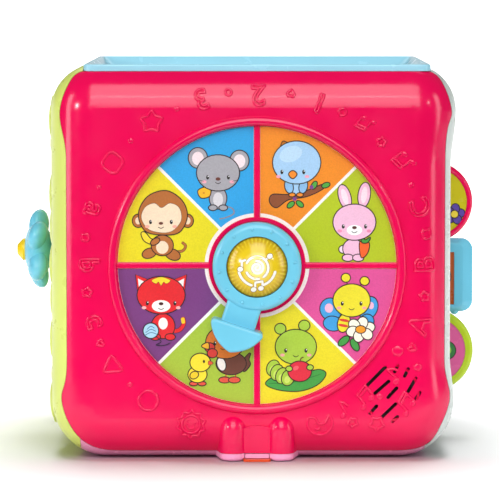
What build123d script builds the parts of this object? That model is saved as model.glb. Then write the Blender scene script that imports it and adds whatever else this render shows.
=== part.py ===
from build123d import *
import math
import os

# Baby activity cube. Millimetres, +Z up, the dial looks towards -Y, +X is on its right.
# The origin is on the plane the cube stands on, straight below the dial's axis.

os.makedirs("parts", exist_ok=True)

# Housing
BODY_LEFT = -160.0
RIGHT_WAIST = 150.5
RIGHT_TOP_EAR = 154.5
RIGHT_LOW_EAR = 153.6
HALF_DEPTH = 150.0
HEIGHT = 306.0
TOP_CORNER_R = 36.0
LOW_CORNER_R = 44.0
RIM_R = 33.0
WALL = 3.0
SEAM = 0.3
WAIST_LOW_Z = 80.0
WAIST_HIGH_Z = 225.0
FACE_INNER_Y = 127.0

# Dial on the front
DIAL_Z = 151.5
POCKET_R = 108.0
POCKET_FLOOR_Y = -146.7
FLOOR_T = 3.2
BEAD_R = 111.6
BEAD_WIRE_R = 3.6
RIB_W = 4.6
HUB_HOLE_R = 25.7
LABEL_T = 0.25

# Pointer and push button in the dial's middle
POINTER_R = 34.2
SLEEVE_R = 25.4
BUTTON_BORE_R = 23.6
BUTTON_R = 23.2
POINTER_TURN = 18.0
BOARD_Y = -118.0

# Flip tiles on the right side
AXLE_X = 142.0
AXLE_R = 2.0
AXLE_BORE_R = 2.08
FLIP_HALF_T = 6.0
TOP_DISC = {"z": 191.4, "r": 32.6, "flat": 29.3, "rim": 4.6}
LOW_DISC = {"z": 70.5, "r": 33.5, "flat": 31.2, "rim": 6.2}
MID_TILE_Z = 132.0
TILE_HALF_X = 32.8
TILE_HALF_Z = 29.6
TILE_HALF_T = 7.0
TROUGH_X = 107.0
TROUGH_HALF_Y = 35.0
TROUGH_Z = (36.0, 228.0)
TROUGH_WALL = 2.5

# Flower spinner on the left side
FLOWER_Z = 152.5
FLOWER_R = 33.5
FLOWER_BACK_X = -163.2
FLOWER_TIP_X = -187.0

# Shape sorter in the top
TRAY_HALF = 130.0
RIM_HALF = 134.2
TRAY_FLOOR_Z = 292.0
PLATE_T = 3.0
HOLE_PITCH = 55.0

# Hatch in the base
HATCH_HALF_X = 85.0
HATCH_FRONT_Y = -60.0
HATCH_REAR_Y = 92.0
HINGE_Y = 101.0
HINGE_Z = 4.5
HATCH_Z = (0.6, 3.0)
TONGUE_HALF_X = 9.2

# Bench fixings
POSTS = [(-128.0, 262.0), (128.0, 262.0), (-110.0, 24.0), (110.0, 24.0)]
COVER_Y = (-92.0, -90.0)
SPEAKER_X, SPEAKER_Z = 103.0, 53.0

parts = {}


def box(x0, x1, y0, y1, z0, z1):
    solid = Box(x1 - x0, y1 - y0, z1 - z0)
    return Pos((x0 + x1) / 2, (y0 + y1) / 2, (z0 + z1) / 2) * solid


def rod_x(r, x0, x1, y=0.0, z=0.0):
    return Pos((x0 + x1) / 2, y, z) * Rot(0, 90, 0) * Cylinder(r, x1 - x0)


def rod_y(r, y0, y1, x=0.0, z=0.0):
    return Pos(x, (y0 + y1) / 2, z) * Rot(90, 0, 0) * Cylinder(r, y1 - y0)


def rod_z(r, z0, z1, x=0.0, y=0.0):
    return Pos(x, y, (z0 + z1) / 2) * Cylinder(r, z1 - z0)


def ring_y(r_out, r_in, y0, y1, x=0.0, z=0.0):
    return rod_y(r_out, y0, y1, x, z) - rod_y(r_in, y0 - 1, y1 + 1, x, z)


def solids(shape):
    """The shape as one compound of its solids, without dust from cutting."""
    return Compound(children=[s for s in shape.solids() if s.volume > 0.5])


def edges_on_plane(shape, axis, value, tol=0.01):
    group = []
    for edge in shape.edges():
        bounds = edge.bounding_box()
        low = getattr(bounds.min, axis)
        high = getattr(bounds.max, axis)
        if abs(low - value) < tol and abs(high - value) < tol:
            group.append(edge)
    return group


# ---------------------------------------------------------------- housing


def body_solid(inset):
    """The cube's rounded outer form, or its cavity when inset by the wall."""
    left, low_ear = BODY_LEFT + inset, RIGHT_LOW_EAR - inset
    waist, top_ear = RIGHT_WAIST - inset, RIGHT_TOP_EAR - inset
    low, high = inset, HEIGHT - inset
    r_low, r_top = LOW_CORNER_R - inset, TOP_CORNER_R - inset
    up = (0, 1)
    with BuildSketch(Plane.XZ) as profile:
        with BuildLine():
            Line((left + r_low, low), (low_ear - r_low, low))
            JernArc((low_ear - r_low, low), (1, 0), r_low, 90)
            Spline((low_ear, low + r_low), (waist, WAIST_LOW_Z), tangents=(up, up))
            Line((waist, WAIST_LOW_Z), (waist, WAIST_HIGH_Z))
            Spline((waist, WAIST_HIGH_Z), (top_ear, high - r_top), tangents=(up, up))
            JernArc((top_ear, high - r_top), up, r_top, 90)
            Line((top_ear - r_top, high), (left + r_top, high))
            JernArc((left + r_top, high), (-1, 0), r_top, 90)
            Line((left, high - r_top), (left, low + r_low))
            JernArc((left, low + r_low), (0, -1), r_low, 90)
        make_face()
    half = HALF_DEPTH - inset
    solid = extrude(profile.sketch, amount=half, both=True)
    rims = edges_on_plane(solid, "Y", -half) + edges_on_plane(solid, "Y", half)
    return fillet(rims, RIM_R - inset)


def face_outline(grow):
    """Prism along Y whose outline is the front and back panels' parting line."""
    top, bottom = 300.6 + grow, 6.5 - grow
    right_side = [(133, 300.6), (143, 292), (150.3, 269.5), (145.3, 233)]
    low_side = [(145.3, 77), (149.8, 47.5), (141.5, 24), (105, 6.5)]
    left_extra = 1.7

    def grown(points, centre):
        moved = []
        for x, z in points:
            away = Vector(x - centre[0], z - centre[1], 0).normalized()
            moved.append((x + grow * away.X, z + grow * away.Y))
        return moved

    upper = grown(right_side, (108, 255))
    upper[0] = (133, top)
    upper[-1] = (145.3 + grow, 233)
    lower = grown(low_side, (108, 50))
    lower[0] = (145.3 + grow, 77)
    lower[-1] = (105, bottom)
    mirror = [[(-x - left_extra, z) for x, z in side] for side in (upper, lower)]
    with BuildSketch(Plane.XZ) as profile:
        with BuildLine():
            Line(mirror[0][0], upper[0])
            Spline(*upper, tangents=((1, -0.25), (0, -1)))
            Line(upper[-1], lower[0])
            Spline(*lower, tangents=((0, -1), (-1, 0)))
            Line(lower[-1], mirror[1][-1])
            Spline(*mirror[1][::-1], tangents=((-1, 0), (0, 1)))
            Line(mirror[1][0], mirror[0][-1])
            Spline(*mirror[0][::-1], tangents=((0, 1), (1, 0.25)))
        make_face()
    prism = extrude(profile.sketch, amount=HALF_DEPTH + 20, both=True)
    return prism - box(-200, 200, -FACE_INNER_Y + grow, FACE_INNER_Y - grow, -10, 400)


OUTER = body_solid(0)
CAVITY = body_solid(WALL)
SHELL = OUTER - CAVITY
FACE = face_outline(0)
FACE_GROWN = face_outline(SEAM)
TOP_ZONE = box(-RIM_HALF - SEAM, RIM_HALF + SEAM, -200, 200, 250, 400)
BASE_ZONE = box(-137.0, 130.5, -200, 200, -10, 60)
BASE_ZONE_GROWN = box(-137.0 - SEAM, 130.5 + SEAM, -200, 200, -10, 60)


# ---------------------------------------------------------------- front panel

HUMP_X = 18.6
HUMP_CENTRE_Y = -145.6
HUMP_R = 10.3
HUMP_TOP_Z = 25.0
HUMP_FLARE = 12.0
FOOT_SPLIT_Z = 6.05


def hump_column(x, flare, z0, z1):
    """Upright rounded foot whose flanks flare by an angle as they run back."""
    angle = math.radians(flare)
    tx, ty = HUMP_R * math.cos(angle), HUMP_CENTRE_Y - HUMP_R * math.sin(angle)
    back_y = -122.0
    bx = tx + (back_y - ty) * math.tan(angle)
    with BuildSketch(Plane.XY.offset(z0)) as plan:
        with BuildLine():
            ThreePointArc((x - tx, ty), (x, HUMP_CENTRE_Y - HUMP_R), (x + tx, ty))
            Polyline((x + tx, ty), (x + bx, back_y), (x - bx, back_y), (x - tx, ty))
        make_face()
    return extrude(plan.sketch, amount=z1 - z0)


def front_feet():
    """Two domed guards and the low arch between them, above the foot line."""
    arch = rod_y(28.6, -160, -110, 0, -1.0)
    shape = box(-11.5, 11.5, -151.2, -122, FOOT_SPLIT_Z + 0.2, 30) & arch
    for side in (-1, 1):
        x = side * HUMP_X
        shape += hump_column(x, HUMP_FLARE, FOOT_SPLIT_Z + 0.2, HUMP_TOP_Z)
        shape += Pos(x, HUMP_CENTRE_Y, HUMP_TOP_Z) * Sphere(HUMP_R)
    return shape


def speaker_slots():
    """Slots in three slanting rows, as short bars with round ends."""
    ends = [
        ((83.7, 57.4), (98.9, 72.9)),
        ((106.4, 69.5), (108.5, 73.9)),
        ((114.0, 66.1), (116.7, 71.5)),
        ((91.2, 52.7), (101.6, 61.9)),
        ((101.3, 49.5), (107.8, 56.7)),
        ((116.7, 54.0), (122.6, 64.3)),
        ((122.9, 48.5), (125.7, 53.0)),
        ((87.5, 37.2), (92.3, 42.7)),
        ((96.8, 34.4), (107.1, 44.4)),
        ((105.0, 31.0), (108.5, 34.4)),
    ]
    width = 2.7
    cut = []
    for (x0, z0), (x1, z1) in ends:
        length = math.hypot(x1 - x0, z1 - z0)
        angle = math.degrees(math.atan2(z1 - z0, x1 - x0))
        bar = extrude(SlotCenterToCenter(length, width), amount=10, both=True)
        centre = Pos((x0 + x1) / 2, -147, (z0 + z1) / 2)
        cut.append(centre * Rot(0, -angle, 0) * Rot(90, 0, 0) * bar)
    return cut


def make_front():
    shell = (SHELL & FACE) & box(-200, 200, -200, -SEAM / 2, -10, 400)
    shell += front_feet() - CAVITY - box(-200, 200, -130, 200, -10, 400)
    shell -= rod_y(POCKET_R, -160, -140, 0, DIAL_Z)
    shell += ring_y(POCKET_R + 4, POCKET_R, -148.5, POCKET_FLOOR_Y, 0, DIAL_Z)
    shell += ring_y(POCKET_R + 4, HUB_HOLE_R, POCKET_FLOOR_Y, POCKET_FLOOR_Y + FLOOR_T, 0, DIAL_Z)
    bead = Pos(0, -HALF_DEPTH, DIAL_Z) * Rot(90, 0, 0) * Torus(BEAD_R, BEAD_WIRE_R)
    shell += bead & box(-200, 200, -200, -147, 0, 400)
    shell += ring_y(37.2, 34.7, -149.0, POCKET_FLOOR_Y, 0, DIAL_Z)
    for turn in range(4):
        rib = box(-RIB_W / 2, RIB_W / 2, -148.4, POCKET_FLOOR_Y, 36.5, POCKET_R + 1)
        rib = fillet(edges_on_plane(rib, "Y", -148.4), 1.2)
        shell += Pos(0, 0, DIAL_Z) * Rot(0, 90 * turn, 0) * rib
    for cut in speaker_slots():
        shell -= cut
    for x, z in POSTS:
        post = rod_y(5.0, -149.0, COVER_Y[0], x, z) & OUTER
        shell += post - rod_y(1.4, -130, -80, x, z)
    guides = ring_y(22.6, 20.6, -147.5, -140, SPEAKER_X, SPEAKER_Z)
    shell += guides
    return shell


# ---------------------------------------------------------------- other panels

CLOCK_Z = 190.0
SWITCH_Z = 56.0


def make_back():
    shell = (SHELL & FACE) & box(-200, 200, SEAM / 2, 200, -10, 400)
    shell -= rod_y(62, 148.5, 160, 0, CLOCK_Z)
    shell -= rod_y(3.3, 140, 160, 0, CLOCK_Z)
    shell -= box(-10, 10, 140, 160, SWITCH_Z - 3.2, SWITCH_Z + 3.2)
    for x, z in POSTS:
        shell += rod_y(6.2, COVER_Y[1] + 0.2, 149, x, z) & OUTER
        shell -= rod_y(4.0, -84, 160, x, z)
        shell -= rod_y(1.7, -95, -80, x, z)
    return shell


def make_left():
    shell = SHELL - FACE_GROWN - TOP_ZONE - BASE_ZONE_GROWN
    shell = shell & box(-200, 0, -200, 200, -10, 400)
    shell += rod_x(14, -162.4, -158, 0, FLOWER_Z)
    return shell - rod_x(4.3, -170, -150, 0, FLOWER_Z)


def make_right():
    z0, z1 = TROUGH_Z
    shell = SHELL - FACE_GROWN - TOP_ZONE - BASE_ZONE_GROWN
    shell = shell & box(0, 200, -200, 200, -10, 400)
    deep, w = TROUGH_X - TROUGH_WALL, TROUGH_WALL
    tub = box(deep, 200, -TROUGH_HALF_Y - w, TROUGH_HALF_Y + w, z0 - w, z1 + w)
    shell += tub & OUTER
    shell -= box(TROUGH_X, 200, -TROUGH_HALF_Y, TROUGH_HALF_Y, z0, z1)
    return shell - rod_z(AXLE_R, 20, 240, AXLE_X, 0)


def frustum(half_high, z_high, half_low, z_low, corner):
    high = Plane.XY.offset(z_high) * RectangleRounded(2 * half_high, 2 * half_high, corner)
    low = Plane.XY.offset(z_low) * RectangleRounded(2 * half_low, 2 * half_low, corner)
    return loft([high, low])


def make_top():
    """Rim and sloping sides of the tray, with a ledge for the sorter plate."""
    rim_low_z = 300.6 + SEAM
    plan = Plane.XY.offset(rim_low_z) * RectangleRounded(2 * RIM_HALF, 2 * RIM_HALF, 7)
    rim = extrude(plan, amount=HEIGHT - rim_low_z)
    rim = fillet(edges_on_plane(rim, "Z", HEIGHT), 1.3)
    drop = HEIGHT - 286.0
    under = RIM_HALF - 5.9
    rim += frustum(under, rim_low_z + 0.5, under - 15.4, 286, 6)
    rim -= frustum(TRAY_HALF + 1, HEIGHT + 1, TRAY_HALF - drop + 3, 289, 5)
    well = Plane.XY.offset(280) * RectangleRounded(217, 217, 5)
    return rim - extrude(well, amount=20)


def make_base():
    shell = (SHELL & BASE_ZONE) - FACE_GROWN
    for side in (-1, 1):
        foot = hump_column(side * HUMP_X, HUMP_FLARE, 0.3, FOOT_SPLIT_Z - 0.1)
        foot = fillet(edges_on_plane(foot, "Z", 0.3), 3.0)
        foot = foot - CAVITY - box(-200, 200, -126, 200, -10, 400)
        shell += foot
    # Hatch opening, the channel for its tongue, and the battery opening.
    wide = HATCH_HALF_X + 0.6
    shell -= box(-wide, wide, HATCH_FRONT_Y - 0.6, HATCH_REAR_Y + 1.6, -5, 20)
    shell -= box(-59.8, 59.8, HATCH_REAR_Y, 106.5, -5, 20)
    shell -= box(-11.2, 11.2, -160, -130, -5, 2.3)
    half = TONGUE_HALF_X + 0.5
    shell -= box(-half, half, -160, HATCH_FRONT_Y, -5, FOOT_SPLIT_Z + 0.3)
    shell -= box(-92.5, -21.5, -112, -68, -5, 20)
    for side in (-1, 1):
        low, high = sorted((side * 60, side * 68))
        shell += box(low, high, 97.5, 112, 0, 8.5)
    shell -= rod_x(1.5, -80, 80, HINGE_Y, HINGE_Z)
    return shell


def housing():
    parts["front_shell"] = make_front()
    parts["back_shell"] = make_back()
    parts["left_shell"] = make_left()
    parts["right_shell"] = make_right()
    parts["top_shell"] = make_top()
    parts["base_shell"] = make_base()


# ---------------------------------------------------------------- shape sorter


def star_points(r_out, r_in, count=5):
    points = []
    for k in range(2 * count):
        r = r_out if k % 2 == 0 else r_in
        angle = math.radians(90 + 180 / count * k)
        points.append((r * math.cos(angle), r * math.sin(angle)))
    return points


def sorter_outlines(grow):
    """Circle, square, triangle and star openings, each grown by a margin."""
    triangle = Rot(0, 0, 90) * RegularPolygon(27.5 + 2 * grow, 3)
    star = Polygon(*star_points(27 + 1.6 * grow, 14.5 + grow), align=None)
    return {
        "circle": (-HOLE_PITCH, -HOLE_PITCH, Circle(23 + grow)),
        "square": (HOLE_PITCH, -HOLE_PITCH, Rectangle(42 + 2 * grow, 42 + 2 * grow)),
        "triangle": (-HOLE_PITCH, HOLE_PITCH, triangle),
        "star": (HOLE_PITCH, HOLE_PITCH, star),
    }


def shape_sorter():
    low = TRAY_FLOOR_Z - PLATE_T
    plate = extrude(Plane.XY.offset(low) * RectangleRounded(225, 225, 6), amount=PLATE_T)
    borders, holes = sorter_outlines(3.2), sorter_outlines(0)
    for name, (x, y, outline) in borders.items():
        hole = Pos(x, y, low - 1) * extrude(holes[name][2], amount=10)
        collar = Pos(x, y, TRAY_FLOOR_Z) * extrude(outline, amount=1.5)
        parts["sorter_collar_" + name] = collar - hole
        plate -= hole
    parts["sorter_plate"] = plate


# ---------------------------------------------------------------- dial, pointer, button


def dial_labels():
    """Four quarter-ring stickers between the ribs."""
    low, high = POCKET_FLOOR_Y - LABEL_T, POCKET_FLOOR_Y
    ring = ring_y(107.4, 37.5, low, high, 0, 0)
    half = RIB_W / 2 + 0.2
    ring -= box(-half, half, -200, 0, -120, 120)
    ring -= box(-120, 120, -200, 0, -half, half)
    parts["dial_labels"] = Pos(0, 0, DIAL_Z) * ring


def arrow_head():
    """Broad pointed head with swelling sides, below the axis along -Z."""
    with BuildSketch(Plane.XZ) as plan:
        with BuildLine():
            Line((-22, -47), (22, -47))
            ThreePointArc((22, -47), (15, -59.5), (0, -68.5))
            ThreePointArc((0, -68.5), (-15, -59.5), (-22, -47))
        make_face()
        fillet(plan.vertices(), 3.0)
    head = Pos(0, -149.5, 0) * extrude(plan.sketch, amount=20.5)
    return fillet(edges_on_plane(head, "Y", -170), 2.0)


def pointer():
    front = -163.0
    ring = rod_y(POINTER_R, front, -151, 0, 0)
    ring = fillet(edges_on_plane(ring, "Y", front), 4.5)
    neck = box(-13.5, 13.5, -161, -149.7, -50, -20)
    neck = fillet(edges_on_plane(neck, "Y", -161), 2.5)
    shape = ring + neck + arrow_head()
    shape += rod_y(SLEEVE_R, -152, -141, 0, 0)
    shape -= rod_y(BUTTON_BORE_R, -180, -130, 0, 0)
    place = Pos(0, 0, DIAL_Z) * Rot(0, POINTER_TURN, 0)
    parts["pointer"] = place * shape
    clip = ring_y(30.0, SLEEVE_R, -143.0, -141.0, 0, DIAL_Z)
    parts["pointer_clip"] = clip


def button():
    """Hollow translucent dome with a central plunger, guided by a fixed tube."""
    rise, edge_y = 9.5, -160.5
    radius = (BUTTON_R**2 + rise**2) / (2 * rise)
    dome = Pos(0, edge_y - rise + radius, 0) * Sphere(radius)
    cup = rod_y(BUTTON_R, -180, -140.5) & (dome + rod_y(BUTTON_R, edge_y, -140))
    inner = Pos(0, edge_y - rise + radius, 0) * Sphere(radius - 2.4)
    hollow = rod_y(BUTTON_R - 2.2, -180, -130) & (inner + rod_y(30, edge_y + 2, -130))
    cup -= hollow
    parts["button_lens"] = Pos(0, 0, DIAL_Z) * cup
    plunger = rod_y(BUTTON_R - 2.4, -150.0, -148.0) + rod_y(5.8, -148, -124.8)
    parts["button_plunger"] = Pos(0, 0, DIAL_Z) * plunger
    lugs = ring_y(BUTTON_R - 2.2, 19.0, -148.0, -146.0)
    parts["button_lens"] += Pos(0, 0, DIAL_Z) * lugs
    guide = ring_y(8.6, 6.2, -136, -120.5) + ring_y(14, 6.2, -120.5, BOARD_Y)
    parts["button_guide"] = Pos(0, 0, DIAL_Z) * guide
    dome_spring = ring_y(5.6, 4.6, -124.8, BOARD_Y)
    parts["button_spring"] = Pos(0, 0, DIAL_Z) * dome_spring


def electronics():
    cx, cz = 0.0, DIAL_Z
    board = box(-50, 50, BOARD_Y, BOARD_Y + 1.6, cz - 35, cz + 35)
    parts["main_board"] = board
    switch = box(-3, 3, BOARD_Y - 2.2, BOARD_Y, cz - 3, cz + 3)
    switch += rod_y(1.5, BOARD_Y - 3.5, BOARD_Y - 2.2, cx, cz)
    parts["button_switch"] = switch
    lamps = []
    for side in (-1, 1):
        lamp = rod_y(2.5, BOARD_Y - 7, BOARD_Y, side * 16.8, cz)
        lamps.append(lamp + Pos(side * 16.8, BOARD_Y - 7, cz) * Sphere(2.5))
    parts["button_lamps"] = Compound(children=lamps)
    chips = [
        box(-40, -26, BOARD_Y + 1.6, BOARD_Y + 4, cz - 7, cz + 7),
        box(24, 34, BOARD_Y + 1.6, BOARD_Y + 4, cz + 8, cz + 18),
        box(22, 30, BOARD_Y + 1.6, BOARD_Y + 8, cz - 30, cz - 20),
        box(-34, -26, BOARD_Y + 1.6, BOARD_Y + 8, cz - 30, cz - 20),
    ]
    parts["board_components"] = Compound(children=chips)
    posts = []
    for sx in (-1, 1):
        for sz in (-1, 1):
            posts.append(rod_y(3.2, BOARD_Y + 1.6, COVER_Y[0], sx * 45, cz + sz * 30))
    parts["board_posts"] = Compound(children=posts)


def speaker():
    sx, sz = SPEAKER_X, SPEAKER_Z
    basket = ring_y(20.3, 17.2, -144.6, -141.6, sx, sz)
    basket += ring_y(20.3, 9.0, -141.6, -140.6, sx, sz)
    basket += ring_y(12.0, 9.0, -140.6, -136.0, sx, sz)
    parts["speaker_basket"] = basket
    parts["speaker_cone"] = ring_y(17.1, 1.0, -143.4, -142.6, sx, sz)
    parts["speaker_magnet"] = rod_y(11.5, -136.0, -129.0, sx, sz)


def lead(points, r):
    """Round wire along straight runs joined by the widest arcs they allow."""
    spots = [Vector(*p) for p in points]
    radii = []
    for a, b, c in zip(spots, spots[1:], spots[2:]):
        turn = math.radians((b - a).get_angle(c - b))
        run = min((b - a).length, (c - b).length)
        radii.append(0.45 * run / math.tan(turn / 2))
    path = FilletPolyline(*points, radius=radii)
    start = Plane(origin=path @ 0, z_dir=path % 0)
    return sweep(start * Circle(r), path=path)


def leads():
    socket_y, socket_z = BOARD_Y + 8, DIAL_Z - 25
    speaker_run = [
        (26, socket_y, socket_z),
        (26, -100, socket_z),
        (52, -99, 104),
        (92, -104, 76),
        (SPEAKER_X, -114, 58),
        (SPEAKER_X, -129, 56),
    ]
    cell_run = [
        (-30, socket_y, socket_z),
        (-30, -100, socket_z),
        (-44, -97, 96),
        (-57, -100, 56),
        (-57, -100, 22),
    ]
    parts["speaker_lead"] = lead(speaker_run, 1.1)
    parts["battery_lead"] = lead(cell_run, 1.1)


def module_cover():
    """Plate behind the electronics that closes them off from the block bin."""
    keep = body_solid(WALL + 1.5) & box(-200, 200, COVER_Y[0], COVER_Y[1], 8, 283)
    keep -= box(-100, -14, -200, 0, 0, 27)
    for x, z in POSTS:
        keep -= rod_y(1.7, -100, -80, x, z)
    parts["module_cover"] = keep
    screws = []
    for x, z in POSTS:
        shank = rod_y(1.4, -108, -84, x, z)
        screws.append(shank + rod_y(3.0, -84, -81.6, x, z))
    parts["case_screws"] = Compound(children=screws)


# ---------------------------------------------------------------- battery bay


def battery_bay():
    x0, x1, y0, y1 = -94.5, -19.5, -114.5, -65.5
    tray = box(x0, x1, y0, y1, WALL, 22)
    tray -= box(x0 + 2, x1 - 2, y0 + 2, y1 - 2, WALL - 1, 20.2)
    parts["battery_box"] = tray
    cells, ends = [], []
    for k in range(3):
        y = -90 + (k - 1) * 15.0
        body = rod_x(7.2, -82, -33.5, y, 11.5)
        nub = rod_x(2.6, -33.5, -31.8, y, 11.5)
        cells.append(body + nub)
        ends.append(rod_x(5.0, -84.2, -82, y, 11.5))
        ends.append(box(-31.8, -31.0, y - 4, y + 4, 7, 17))
    parts["battery_cells"] = Compound(children=cells)
    parts["battery_contacts"] = Compound(children=ends)
    door = box(-92, -22, -111.5, -68.5, 0.5, 2.9)
    door -= rod_z(1.7, -5, 10, -57, -72.5)
    door -= rod_z(3.4, -5, 1.3, -57, -72.5)
    parts["battery_door"] = door
    screw = rod_z(3.2, 0.6, 1.3, -57, -72.5) + rod_z(1.6, 1.3, 3.6, -57, -72.5)
    parts["battery_screw"] = screw


# ---------------------------------------------------------------- flip tiles


def flip_disc(z, r, flat, rim):
    """Turning disc, flattened at the axle, with a seat on both faces for its picture inset."""
    t = FLIP_HALF_T
    core = rod_y(r, -t, t, 0, 0) & box(-40, 40, -t - 1, t + 1, -flat, flat)
    core = fillet(edges_on_plane(core, "Y", -t) + edges_on_plane(core, "Y", t), 3.4)
    seat_r = r - rim
    inset = []
    for side in (-1, 1):
        low, high = sorted((side * (t - 1.6), side * (t + 1)))
        core -= rod_y(seat_r, low, high, 0, 0)
        low, high = sorted((side * (t - 1.6), side * (t - 0.5)))
        inset.append(rod_y(seat_r - 0.15, low, high, 0, 0))
    core -= rod_z(AXLE_BORE_R, -40, 40, 0, 0)
    place = Pos(AXLE_X, 0, z)
    return place * core, place * Compound(children=inset)


def flip_tile():
    """Square tile with a broad bevel round its window and a small lug below."""
    half_x, half_z, t = TILE_HALF_X, TILE_HALF_Z, TILE_HALF_T
    slab = RectangleRounded(2 * half_x, 2 * half_z, 9)
    face = RectangleRounded(2 * half_x - 16, 2 * half_z - 7, 5)
    core = extrude(Plane.XZ * slab, amount=3.4, both=True)
    for side in (-1, 1):
        core += loft([Plane.XZ.offset(side * 3.4) * slab, Plane.XZ.offset(side * t) * face])
    core = fillet(edges_on_plane(core, "Y", -t) + edges_on_plane(core, "Y", t), 1.2)
    core += Pos(18.6, 0, 0.7 - half_z) * Sphere(3.6)
    inset = []
    for side in (-1, 1):
        low, high = sorted((side * (t - 1.8), side * (t + 1)))
        core -= box(-18, 18, low, high, -24.0, 18.8)
        low, high = sorted((side * (t - 1.8), side * (t - 0.8)))
        inset.append(box(-17.8, 17.8, low, high, -23.8, 18.6))
    core -= rod_z(AXLE_BORE_R, -40, 40, 0, 0)
    place = Pos(AXLE_X, 0, MID_TILE_Z)
    return place * core, place * Compound(children=inset)


def flip_tiles():
    parts["flip_disc_top"], parts["flip_inset_top"] = flip_disc(**TOP_DISC)
    parts["flip_tile_mid"], parts["flip_inset_mid"] = flip_tile()
    parts["flip_disc_low"], parts["flip_inset_low"] = flip_disc(**LOW_DISC)
    parts["flip_axle"] = rod_z(AXLE_R, 31, 233, AXLE_X, 0)
    floor_z, roof_z = TROUGH_Z
    low_end = LOW_DISC["z"] - LOW_DISC["flat"] - 0.4
    high_end = TOP_DISC["z"] + TOP_DISC["flat"] + 0.4
    washers = []
    for z0, z1 in ((floor_z, low_end), (high_end, roof_z)):
        washers.append(rod_z(4.2, z0, z1, AXLE_X, 0) - rod_z(AXLE_R, 0, 300, AXLE_X, 0))
    parts["flip_spacers"] = Compound(children=washers)


# ---------------------------------------------------------------- flower spinner


def flower():
    """Five-lobed domed knob on a short shaft that turns in the left panel."""
    back, tip = FLOWER_BACK_X, FLOWER_TIP_X
    with BuildSketch(Plane.XZ) as section:
        with BuildLine():
            Polyline((tip, 0), (back, 0), (back, 7), (-167, 20), (-170.5, 31))
            Spline((-170.5, 31), (-174.5, FLOWER_R), (-179, 31), (-184, 20), (tip, 7), (tip, 0))
        make_face()
    knob = revolve(section.sketch, Axis.X)
    for k in range(5):
        angle = 72 * k + 36
        knob -= Rot(angle, 0, 0) * rod_x(8.0, -200, -150, 37.5, 0)
    knob += rod_x(4.0, -166, -155.0, 0, 0)
    knob -= rod_x(1.4, -164, -150, 0, 0)
    knob -= rod_x(9.0, -200, tip + 3, 0, 0)
    parts["flower_petals"] = Pos(0, 0, FLOWER_Z) * knob
    nose = rod_x(8.9, tip - 3, tip + 2.8, 0, 0)
    taper = Cone(8.9, 4.0, 4.5, align=(Align.CENTER, Align.CENTER, Align.MIN))
    nose += Pos(tip - 3, 0, 0) * Rot(0, -90, 0) * taper
    parts["flower_nose"] = Pos(0, 0, FLOWER_Z) * nose
    disc = rod_x(8.0, -155.0, -153.6, 0, 0) - rod_x(1.6, -160, -150, 0, 0)
    parts["flower_washer"] = Pos(0, 0, FLOWER_Z) * disc
    screw = rod_x(1.4, -163.5, -153.6, 0, 0) + rod_x(3.2, -153.6, -151.6, 0, 0)
    parts["flower_screw"] = Pos(0, 0, FLOWER_Z) * screw


# ---------------------------------------------------------------- hatch


def hatch():
    z0, z1 = HATCH_Z
    door = box(-HATCH_HALF_X, HATCH_HALF_X, HATCH_FRONT_Y, HATCH_REAR_Y, z0, z1)
    door += box(-59.4, 59.4, HATCH_REAR_Y - 1, HINGE_Y, z0, z1)
    door += rod_x(3.4, -59.4, 59.4, HINGE_Y, HINGE_Z)
    door += box(-TONGUE_HALF_X, TONGUE_HALF_X, -134, HATCH_FRONT_Y, z0, z1)
    door += box(-TONGUE_HALF_X, TONGUE_HALF_X, -150.4, -116, 2.3, 5.7)
    door -= box(-5.3, 5.3, -149.0, -118.5, 1.5, 4.4)
    door -= rod_x(1.56, -70, 70, HINGE_Y, HINGE_Z)
    for k in range(-3, 4):
        door += box(k * 22 - 0.9, k * 22 + 0.9, -52, 86, z1, z1 + 2.5)
    parts["hatch_door"] = door
    parts["hatch_pin"] = rod_x(1.5, -68, 68, HINGE_Y, HINGE_Z)
    tab = box(-10.6, 10.6, -156, -138, 0.1, 1.9)
    tab = fillet(tab.edges().filter_by(Axis.Z), 3.0)
    tab += box(-5, 5, -148.5, -138.5, 1.8, 4.1)
    parts["latch_tab"] = tab
    parts["latch_spring"] = rod_y(1.0, -138.5, -118.5, 0, 3.1)


# ---------------------------------------------------------------- back


def clock_and_switch():
    cz = CLOCK_Z
    parts["clock_label"] = ring_y(61, 3.6, 148.5, 148.75, 0, cz)
    hand = box(-5, 5, 149.4, 152.4, 0, 40)
    hand += rod_y(9, 149.4, 152.4, 0, 0)
    arrow = extrude(RegularPolygon(9, 3, rotation=-90), amount=1.5, both=True)
    hand += Pos(0, 150.9, 40) * Rot(-90, 0, 0) * arrow
    hand += rod_y(3.0, 144.5, 150, 0, 0)
    hand += rod_y(5.0, 152.4, 154.0, 0, 0)
    parts["clock_hand"] = Pos(0, 0, cz) * hand
    parts["clock_clip"] = ring_y(6.0, 3.0, 144.5, 146.5, 0, cz)
    knob = box(-4, 4, 146.4, 152.0, SWITCH_Z - 2.8, SWITCH_Z + 2.8)
    knob += box(-12, 12, 144.8, 146.5, SWITCH_Z - 5, SWITCH_Z + 5)
    parts["volume_knob"] = knob
    case = box(-19, 19, 139, 144.5, SWITCH_Z - 8, SWITCH_Z + 8)
    parts["volume_switch"] = case


def build():
    housing()
    shape_sorter()
    dial_labels()
    pointer()
    button()
    electronics()
    speaker()
    leads()
    module_cover()
    battery_bay()
    flip_tiles()
    flower()
    hatch()
    clock_and_switch()
    for name, shape in parts.items():
        export_step(solids(shape), f"parts/{name}.step")


build()
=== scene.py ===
import math

import bmesh
import bpy
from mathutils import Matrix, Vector
from mathutils.bvhtree import BVHTree
from mathutils.geometry import tessellate_polygon


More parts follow.
